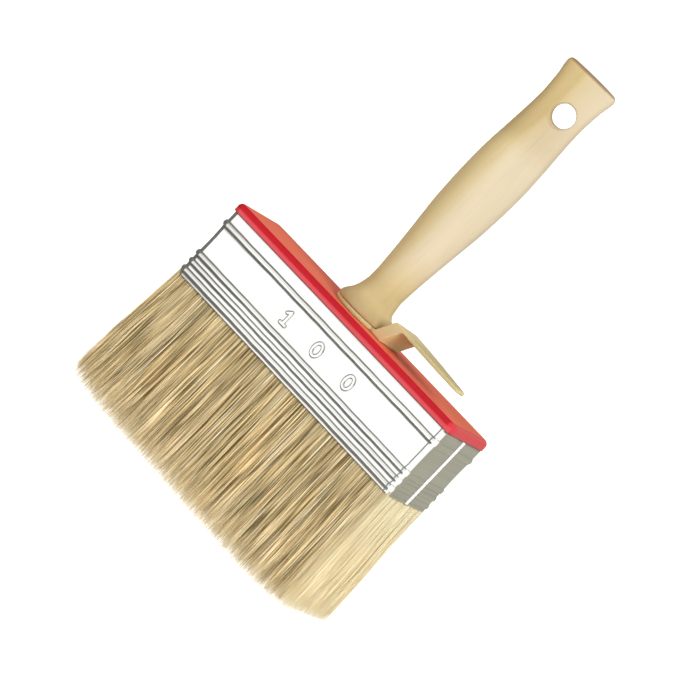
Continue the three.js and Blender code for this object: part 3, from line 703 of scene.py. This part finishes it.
def build_ferrule():
    front = sorted(set([round(x, 3) for x in np.arange(-16.0, 19.9, 0.17)] + [round(x, 3) for x in np.arange(-46.4, -15.6, 1.4)]
                       + [round(x, 3) for x in np.arange(20.4, 46.4, 1.4)] + [round(x, 3) for x in np.arange(46.6, 47.5, 0.12)]))
    right = sorted(set([round(y, 3) for y in np.arange(-3.6, 0.6, 0.12)] + [round(y, 3) for y in np.arange(-11.6, -3.7, 0.9)]
                       + [round(y, 3) for y in np.arange(1.2, 12.4, 0.9)]))
    back = inner(-47.5, 47.5, 1.6)[::-1]
    left = inner(-12.5, 12.5, 1.0)[::-1]
    col = outline(FW, FD, FR, front, right, back, left, 14)
    hs = [0.0, 0.06, 0.15, 0.6, 1.4, 2.2, 3.0]
    hs += list(np.arange(3.3, 5.9, 0.13)) + [6.2, 6.8, 7.4]
    hs += list(np.arange(7.8, 14.0, 0.2)) + [14.4, 14.9, 15.4]
    hs += list(np.arange(15.6, 24.4, 0.13)) + [24.5, 24.8, 25.05, 25.15, 25.2]
    hs = np.array(sorted(set(np.round(hs, 3))))
    H = hs[:, None]
    cx, cy, nx, ny = [col[:, i][None, :] for i in range(4)]
    off = np.zeros((len(hs), len(col)))
    painted_crease_shade = np.zeros_like(off)
    corner_bead_highlight = np.zeros_like(off)
    endside = np.clip((np.abs(cx) - 47.5) / 2.5, 0, 1)      # 1 on the narrow ends
    seam = np.exp(-(np.clip(np.abs(cy - SEAM_Y) - 0.95, 0, None) / 0.14) ** 2) * (cx > 49.9)
    ramp = np.clip((cy - SEAM_Y + 1.1) / 2.2, 0, 1)          # the fold leans a little
    wob = 0.05 * np.sin(cx * 0.31) + 0.04 * np.sin(cx * 0.83 + 1.3)
    for c, w, hgt in BEADS:
        u = np.abs(H - c - wob * 0.6) / w
        bump = np.where(u < 1, np.sqrt(np.clip(1 - u**2, 0, 1)), 0)
        amp = hgt * (1 - 0.55 * seam) * (1 - np.where(cx > 0, 0.45, 0.1) * endside)
        off += amp * bump
        below = H > c
        # painted shade: a dark line along both edges of each bead, wider on the lower edge and towards the left end
        wide = 0.16 + 0.07 * below + 0.10 * (below & (c > 22)) + (0.08 + 0.22 * below) * np.clip((-24 - cx) / 24, 0, 1)
        line = np.exp(-((u - 1.0 - 0.12 * below) * w / wide) ** 2)
        painted_crease_shade = np.maximum(painted_crease_shade, line * (1.0 - 0.8 * endside * (cx > 0)))
        # painted shade over the beads at the left end, with a painted highlight band left along each crest
        glint = np.exp(-((H - c + 0.12) / 0.24) ** 2)
        painted_crease_shade = np.maximum(painted_crease_shade, 0.42 * np.clip((-34 - cx) / 13, 0, 1) * (u < 1.25) * (1 - 0.85 * glint))
        # painted highlight on the beads where they cross the rounded front corner
        round_front = (cx > 48.2) & (cx < 49.3) & (cy < 0) & (u < 1.1)
        corner_bead_highlight = np.maximum(corner_bead_highlight, 0.9 * round_front)
    waist = np.where((H > 5.56) & (H < 15.85), np.sin(np.pi * (H - 5.56) / (15.85 - 5.56)), 0)
    off -= waist * (0.08 + (WAIST - 0.08) * np.clip((np.abs(cx) - 46.5) / 3.0, 0, 1))
    off += (0.12 + 0.5 * ramp) * seam * np.clip((25.2 - H) / 0.4, 0, 1)
    jag = -0.12 * (0.5 + 0.5 * np.sin(H * 5.3 + 0.5)) * (H > 15)
    # the pressed-over lap runs straight although the beads swell under it
    jag = jag - np.clip(1.6 * (off - 0.12 - 0.5 * ramp), -0.2, 0.9)
    lap_and_painted_highlight = np.exp(-(np.clip(np.abs(cy - SEAM_Y - jag) - 0.55, 0, None) / 0.12) ** 2) * (cx > 49.9)
    # painted shade along both edges of the seam lap
    painted_crease_shade = np.maximum(painted_crease_shade, 0.5 * np.exp(-((np.abs(cy - SEAM_Y - jag) - 0.92) / 0.12) ** 2) * (cx > 49.9))
    lap_and_painted_highlight = np.maximum(lap_and_painted_highlight, corner_bead_highlight)
    painted_crease_shade = painted_crease_shade * (1 - lap_and_painted_highlight)
    # painted shade: a dark line where the sheet turns the front corner
    zig = 0.10 * np.sin(H * 1.9) * (H > 14)
    bend = np.exp(-((cx - 47.45 - zig) / 0.22) ** 2) * (cy < -14.8)
    painted_crease_shade = painted_crease_shade * np.where((cx > 48.2) & (cx < 49.95) & (cy < 0), 0.0, 1.0)
    painted_crease_shade = np.maximum(painted_crease_shade, bend)
    # shadow line under the edge of the cap
    painted_crease_shade = np.maximum(painted_crease_shade, 0.9 * np.exp(-(H / 0.35) ** 2) * (cx > 49.9) * (cy > -6.0))
    # hand-made sheet: very slight unevenness
    off += 0.05 * np.sin(cx * 0.11 + 0.7) * np.sin(H * 0.25) * (np.abs(cy) > 14)
    # raised numerals on the front
    px, pz = np.broadcast_arrays(cx, ZT - H)
    dist = stroke_distance(px, pz, numerals())
    isfront = (cy < -14.9) & (np.abs(cx) < 47)
    raised = np.clip((0.62 - dist) / 0.24, 0, 1)
    raised = raised * raised * (3 - 2 * raised)
    off += 0.28 * raised * isfront
    # painted shade outlining the raised numerals
    painted_crease_shade = np.maximum(painted_crease_shade, 0.8 * np.exp(-((dist - 0.56) / 0.12) ** 2) * isfront)
    # rolled edges
    off += -0.16 * np.clip(1 - H / 0.15, 0, 1) - 0.16 * np.clip(1 - (25.2 - H) / 0.15, 0, 1)
    outer = np.stack([cx + nx * off, cy + ny * off, np.broadcast_to(ZT - H, off.shape)], axis=-1)
    keep = np.unique(np.concatenate([np.arange(0, len(hs), 6), [0, len(hs) - 1]]))
    inn = outer[keep].copy()
    smooth_off = np.minimum(off[keep], 0.0) - SHEET
    inn[:, :, 0] = cx + nx * smooth_off
    inn[:, :, 1] = cy + ny * smooth_off
    rings = np.concatenate([outer[::-1], inn], axis=0)     # up the outside, down the inside
    cr = np.concatenate([painted_crease_shade[::-1], np.zeros((len(keep), len(col)))], axis=0)
    lp = np.concatenate([lap_and_painted_highlight[::-1], np.zeros((len(keep), len(col)))], axis=0)
    me = make_mesh("ferrule_band", rings.reshape(-1, 3), [ring_faces(rings.shape[0], rings.shape[1], closed_rows=True)])
    ob = make_object("ferrule_band", me, TIN)
    put(ob, "painted_crease_shade", cr.ravel())
    put(ob, "lap_and_painted_highlight", lp.ravel())
    return ob


ferrule = build_ferrule()
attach(ferrule, "root"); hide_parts("ferrule")


# -------------------------------------------------------------------- bristles
RINGS = 6


def strands(name, x0, y0, x1, y1, zt, width, tint, lit_end_calm, seed):
    """One mesh of closed three-sided tapering hairs from the band to their tips."""
    rng = np.random.default_rng(seed)
    n = len(x0)
    t = np.linspace(0, 1, RINGS)[None, :]
    zr = ZB + 3.0
    z = zr + (zt[:, None] - zr) * t
    bow = rng.normal(0, 0.2, (n, 2))
    bend = np.sin(np.pi * t) * np.clip(t * 1.6, 0, 1)
    down = np.clip((zr - z - 3.0) / (zr - 3.0), 0, 1)
    flare = down ** (1.0 - 0.22 * np.clip((-x0[:, None] - 40) / 9, 0, 1))
    wav = rng.uniform(0, 6.28, (n, 2))
    X = x0[:, None] + (x1 - x0)[:, None] * flare + bow[:, :1] * bend + 0.06 * np.sin(wav[:, :1] + 6 * t) * t
    Y = y0[:, None] + (y1 - y0)[:, None] * down + bow[:, 1:] * bend * 0.6 + 0.06 * np.sin(wav[:, 1:] + 6 * t) * t
    r = width[:, None] * (1 - 0.55 * t ** 2)
    r[:, -1] *= 0.3
    th = rng.uniform(0, 2.09, n)[:, None]
    V = np.zeros((n, RINGS, 3, 3))
    for k in range(3):
        a = th + k * 2 * np.pi / 3
        V[:, :, k, 0] = X + r * np.cos(a)
        V[:, :, k, 1] = Y + r * np.sin(a)
        V[:, :, k, 2] = z
    base = (np.arange(n) * RINGS * 3)[:, None]
    quads = []
    for i in range(RINGS - 1):
        for k in range(3):
            a, b = i * 3 + k, i * 3 + (k + 1) % 3
            quads.append(np.stack([base[:, 0] + a, base[:, 0] + a + 3, base[:, 0] + b + 3, base[:, 0] + b], axis=-1))
    e = (RINGS - 1) * 3
    tris = [base + np.array([[0, 1, 2]]), base + np.array([[e + 2, e + 1, e]])]
    ob = make_object(name, make_mesh(name, V.reshape(-1, 3), [np.concatenate(quads), np.concatenate(tris)]), BRIS)
    put(ob, "tint", np.repeat(tint, RINGS * 3))
    put(ob, "lit_end_calm", np.repeat(lit_end_calm, RINGS * 3))
    put(ob, "along", np.broadcast_to(t[:, :, None], (n, RINGS, 3)).ravel())
    root = np.stack([np.broadcast_to(x0[:, None], z.shape), np.broadcast_to(y0[:, None] * 0.3, z.shape), z * 0.007], axis=-1)
    at = ob.data.attributes.new("strand", "FLOAT_VECTOR", "POINT")
    at.data.foreach_set("vector", (np.repeat(root[:, :, None, :], 3, axis=2) * 0.001).astype(np.float32).ravel())
    return ob


def hash2(ix, iy, k):
    v = np.sin(ix * 127.1 + iy * 311.7 + k * 74.7) * 43758.5453
    return v - np.floor(v)


def smooth_noise(x, y, k):
    ix, iy = np.floor(x), np.floor(y)
    fx, fy = x - ix, y - iy
    fx, fy = fx * fx * (3 - 2 * fx), fy * fy * (3 - 2 * fy)
    a = hash2(ix, iy, k) * (1 - fx) + hash2(ix + 1, iy, k) * fx
    b = hash2(ix, iy + 1, k) * (1 - fx) + hash2(ix + 1, iy + 1, k) * fx
    return a * (1 - fy) + b * fy


def fill():
    """Roots on a jittered grid over the inside of the band, denser near the outside."""
    hx, hy = FW / 2 - 0.55, FD / 2 - 0.55
    pts = []
    step = 0.43
    gx, gy = np.meshgrid(np.arange(-hx, hx, step), np.arange(-hy, hy, step))
    pts.append(np.stack([gx.ravel(), gy.ravel()], axis=-1))
    for k, inset in enumerate((0.0, 0.14, 0.32, 0.52, 0.8, 1.15)):
        w, d = 2 * (hx - inset), 2 * (hy - inset)
        per = 2 * (w + d)
        s = np.arange(0, per, 0.27 if k < 2 else 0.2)
        x = np.where(s < w, s - w / 2, np.where(s < w + d, w / 2, np.where(s < 2 * w + d, w / 2 - (s - w - d), -w / 2)))
        y = np.where(s < w, -d / 2, np.where(s < w + d, s - w - d / 2, np.where(s < 2 * w + d, d / 2, d / 2 - (s - 2 * w - d))))
        pts.append(np.stack([x, y], axis=-1))
    p = np.concatenate(pts)
    p += RNG.uniform(-0.2, 0.2, p.shape)
    p[:, 0] = np.clip(p[:, 0], -hx, hx)
    p[:, 1] = np.clip(p[:, 1], -hy, hy)
    free = ~((np.abs(p[:, 0]) < 41.0) & (np.abs(p[:, 1]) < 4.4))
    return p[free]


roots = fill()
x0, y0 = roots[:, 0], roots[:, 1]
hx, hy = FW / 2 - 0.55, FD / 2 - 0.55
mid = np.abs(x0) < 41.0
u = np.clip((np.abs(y0) - 4.4) / (hy - 4.4), 0, 1)
y_mid = np.sign(y0) * (0.15 + u * (16.1 - 0.15))
y_end = y0 * 16.1 / hy
y1 = np.where(mid, y_mid, y_end)
tx = x0 / hx
x1 = x0 + np.where(tx > 0, 1.2 * tx, -4.0 * np.abs(tx) ** 1.6)
# clumps: hairs of one clump lean together
cell = 1.5
jx, jy = x0 / cell + 0.6 * smooth_noise(x0 * 0.7, y0 * 0.7, 3), y0 / cell + 0.6 * smooth_noise(x0 * 0.7, y0 * 0.7, 5)
ix, iy = np.floor(jx), np.floor(jy)
ccx = (ix + 0.5) * cell * 51.0 / hx
pull = 0.02 + 0.16 * hash2(ix, iy, 9)
x1 = x1 + np.where(np.abs(x0) < 46, (ccx - x1) * pull, 0)
x1 += (hash2(ix, iy, 11) - 0.5) * 0.6 + RNG.normal(0, 0.38, len(x0))
# tufts: a few neighbouring hairs that share a shade and stand proud together
fx, fy = np.floor(x0 / 0.5 + 0.5 * smooth_noise(x0, y0, 6)), np.floor(y0 / 0.6)
out = (hash2(ix, iy, 13) - 0.5) * 0.35 + (hash2(fx, fy, 15) - 0.5) * 0.6
y1 += np.sign(y0) * out * np.clip(np.abs(y0) / 8, 0, 1) + RNG.normal(0, 0.16, len(x0))
x1 = np.clip(x1, -54.4, 51.1 + np.abs(RNG.normal(0, 0.55, len(x0))))
y1 = np.clip(y1, -16.9, 16.9)
near_mid = mid & (np.abs(y1) < 0.12)
y1 = np.where(near_mid, np.sign(y0) * 0.12, y1)
rise = np.interp(x1, [-54.4, -53, -52, -50, -40, -30, -20, -10, 0, 10, 20, 30, 40, 50, 51.5],
                 [5.1, 4.0, 3.0, 1.9, 1.0, 0.5, 0.5, 0.4, 0.1, 0.0, 0.0, 0.0, 0.5, 1.7, 2.4])
zt = rise + np.abs(RNG.normal(0, 1.0, len(x0))) * (1 + 0.5 * np.clip((x0 - 42) / 5, 0, 1)) + 0.25 * hash2(ix, iy, 17)
short = RNG.random(len(x0)) < 0.15
zt += short * RNG.uniform(0.5, 5.0, len(x0))
zt = np.maximum(zt, 0.04)
width = RNG.uniform(0.075, 0.135, len(x0))
# colour: pale surface hairs, painted shade on the hairs further inside, tufts of one shade, painted light that makes
# the +X end blonder
streak = smooth_noise(x0 * 0.5, y0 * 0.4, 21) * 0.5 + smooth_noise(x0 * 1.3, y0 * 1.1, 23) * 0.5
depth = np.minimum(hx - np.abs(x0), hy - np.abs(y0))
inside = np.clip((depth - 0.2) / 0.45, 0, 1)
tint = 0.72 + 0.12 * (streak - 0.5) + 0.18 * (hash2(fx, fy, 31) - 0.5) + RNG.normal(0, 0.13, len(x0))
# painted shade: hairs further inside the brush are darker
tint -= 0.14 * inside + 0.26 * (hash2(fx, fy, 37) < 0.08)
# painted light: the hairs of the +X end are made blonder
painted_lit_end = np.clip((x0 - 44) / 5, 0, 1)
tint = tint + (0.85 + RNG.normal(0, 0.08, len(x0)) - tint) * painted_lit_end * 0.88
tint = np.clip(tint, 0, 1)
lit_end_calm = np.clip(painted_lit_end * 0.85, 0, 1)

groups = {
    "bristles_front": mid & (y0 < 0), "bristles_back": mid & (y0 >= 0),
    "bristles_left": ~mid & (x0 < 0), "bristles_right": ~mid & (x0 > 0),
}
for k, (node, sel) in enumerate(groups.items()):
    ids = np.nonzero(sel)[0]
    parts = 2 if len(ids) > 4200 else 1
    for j in range(parts):
        part = ids[(x0[ids] < 0) == (j == 0)] if parts == 2 else ids
        name = node + ("_hair" if parts == 1 else ("_hair_a" if j == 0 else "_hair_b"))
        ob = strands(name, x0[part], y0[part], x1[part], y1[part], zt[part], width[part], tint[part], lit_end_calm[part], 100 + 10 * k + j)
        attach(ob, "root"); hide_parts(node)


# -------------------------------------------------- carried-over inner CAD nodes
def dress(node, material):
    me = frame["nodes"][node].data
    me.materials.clear()
    me.materials.append(material)


dress("setting_resin", resin_material())
dress("spacer_strip", spacer_material())
ZINC = steel_material("zinc_plate", (196, 198, 202))
dress("screw_washer", ZINC)
dress("handle_screw", ZINC)


# ----------------------------------------------------------------------- stage
def floor_material():
    m = Mat("floor_paper", roughness=0.9)
    n = m.noise(3.0, detail=2)
    m.color(m.ramp(n, [(0.3, (0.9, 0.9, 0.9, 1)), (0.7, (0.92, 0.92, 0.92, 1))]))
    return m.m


s = 6000.0
floor_me = make_mesh("floor", [(-s, -s, 0), (s, -s, 0), (s, s, 0), (-s, s, 0)], [np.array([[0, 1, 2, 3]])], smooth=False)
floor = make_object("floor", floor_me, floor_material())
floor.visible_diffuse = False
floor.visible_shadow = False

world = bpy.data.worlds.new("studio")
bpy.context.scene.world = world
world.use_nodes = True
bg = world.node_tree.nodes["Background"]
bg.inputs["Color"].default_value = (1.0, 0.98, 0.92, 1)
bg.inputs["Strength"].default_value = 0.30

subject = bpy.data.collections.new("subject")
paper = bpy.data.collections.new("paper")
for o in list(bpy.context.scene.objects):
    if o.type == "MESH":
        (paper if o.name.startswith("floor") else subject).objects.link(o)


def softbox(name, at, look, size, power, color=(1, 1, 1)):
    data = bpy.data.lights.new(name, "AREA")
    data.shape = "RECTANGLE"
    data.size, data.size_y = size
    data.energy = power
    data.color = color
    ob = bpy.data.objects.new(name, data)
    bpy.context.scene.collection.objects.link(ob)
    ob.location = at
    ob.rotation_euler = (Vector(look) - Vector(at)).to_track_quat("-Z", "Y").to_euler()
    ob.light_linking.receiver_collection = subject
    return ob


key = softbox("key_right", (1.28, -0.80, 0.92), (0, 0, 0.09), (0.8, 0.8), 28, (0.97, 1.0, 1.06))
fill = softbox("fill_left", (-1.35, -0.80, 0.62), (0, 0, 0.09), (1.0, 0.8), 14, (1.02, 0.98, 0.92))
top = softbox("top_back", (0.1, 0.6, 1.5), (0, 0, 0.1), (1.0, 0.6), 3.6)
bounce = softbox("bounce", (0.45, -0.55, -0.9), (0, 0, 0.05), (1.2, 1.2), 9.0)
hook_only = bpy.data.collections.new("hook_only")
hook_only.objects.link(hook)
riser = softbox("riser_fill", (1.3, -0.30, 0.13), (0, 0, 0.08), (0.3, 0.3), 5.6, (0.8, 1.15, 1.0))
riser.light_linking.receiver_collection = hook_only
riser.visible_glossy = False
for o in (key, bounce):
    o.visible_glossy = False
fill.visible_glossy = False
top.visible_glossy = False

# even light on the paper only, so that it stays plain and pale
sun = bpy.data.lights.new("paper_light", "SUN")
sun.energy = 3.9
sun.use_shadow = False
sun_ob = bpy.data.objects.new("paper_light", sun)
bpy.context.scene.collection.objects.link(sun_ob)
sun_ob.location = (0, 0, 3)
sun_ob.light_linking.receiver_collection = paper


def glow_material(name, grey):
    mat = bpy.data.materials.new(name)
    mat.use_nodes = True
    b = mat.node_tree.nodes["Principled BSDF"]
    b.inputs["Base Color"].default_value = (0, 0, 0, 1)
    b.inputs["Roughness"].default_value = 1.0
    b.inputs["Specular IOR Level"].default_value = 0.0
    b.inputs["Emission Color"].default_value = (*grey, 1)
    b.inputs["Emission Strength"].default_value = 1.0
    return mat


def card(name, centre, az0, az1, radius, height, grey, z0=0.4, ground=True):
    """A curved reflector with a strip of ground in front of it, seen only in reflections.
    The azimuths are counter-clockwise from +X about the centre."""
    a = np.radians(np.linspace(az0, az1, 19))
    c = np.stack([np.cos(a), np.sin(a)], axis=-1)
    xy = lambda r: np.array(centre) + c * r
    rows = [(xy(radius), z0), (xy(radius), height), (xy(radius * 0.45), height * 1.25)]
    if ground:
        rows.insert(0, (xy(2.0), z0))
    v = np.concatenate([np.column_stack([p, np.full(len(p), z)]) for p, z in rows])
    n = len(a)
    f = [[r * n + i, r * n + i + 1, (r + 1) * n + i + 1, (r + 1) * n + i] for r in range(len(rows) - 1) for i in range(n - 1)]
    ob = make_object(name, make_mesh(name, v, [np.array(f)], smooth=False), glow_material(name, grey))
    ob.visible_camera = False
    ob.visible_shadow = False
    ob.visible_diffuse = False
    return ob


card("card_end", (51.5, 0), -22, 101, 420.0, 700.0, (0.47, 0.455, 0.37))
card("card_left", (-51.5, 0), 126, 226, 420.0, 500.0, (0.20, 0.20, 0.185))
card("card_sky", (0, 0), 205, 292, 800.0, 900.0, (1.1, 1.1, 1.08), z0=62.0, ground=False)

# a dark card on the ground close in front, seen only in reflections: painted shade for the undersides of the beads
near_me = make_mesh("near_shade_card", [(-90, -85, 0.5), (70, -85, 0.5), (70, -18, 0.5), (-90, -18, 0.5)],
                    [np.array([[0, 1, 2, 3]])], smooth=False)
near = make_object("near_shade_card", near_me, glow_material("near_shade_card", (0.22, 0.22, 0.21)))
near.visible_camera = near.visible_shadow = near.visible_diffuse = False

# plain white behind the edge of the floor
d = np.array([-0.4038, 0.9073])
side = np.array([0.9073, 0.4038]) * 3000
far = d * 5600
back_me = make_mesh("backdrop", [(*(far - side), -50), (*(far + side), -50), (*(far + side), 3000), (*(far - side), 3000)],
                    [np.array([[0, 1, 2, 3]])], smooth=False)
backdrop = make_object("backdrop", back_me, glow_material("backdrop", (1.15, 1.15, 1.15)))
backdrop.visible_glossy = False
backdrop.visible_diffuse = False
backdrop.visible_shadow = False

cam_data = bpy.data.cameras.new("camera")
cam_data.sensor_width = 36.0
cam_data.lens = 212.5
cam_data.clip_start, cam_data.clip_end = 0.05, 50
cam = bpy.data.objects.new("camera", cam_data)
bpy.context.scene.collection.objects.link(cam)
right = Vector((0.6302, 0.3689, 0.6832))
up = Vector((-0.6632, -0.2018, 0.7207))
back = Vector((0.4038, -0.9073, 0.1175))
back.normalize()
right = (right - back * right.dot(back)).normalized()
up = back.cross(right)
m = Matrix.Identity(4)
for i in range(3):
    m[i][0], m[i][1], m[i][2] = right[i], up[i], back[i]
cam.matrix_world = Matrix.Translation(Vector((0.4861, -1.0936, 0.1358 + ZT / 1000))) @ m
bpy.context.scene.camera = cam

bpy.context.scene.view_settings.view_transform = "Standard"
bpy.context.scene.view_settings.look = "None"
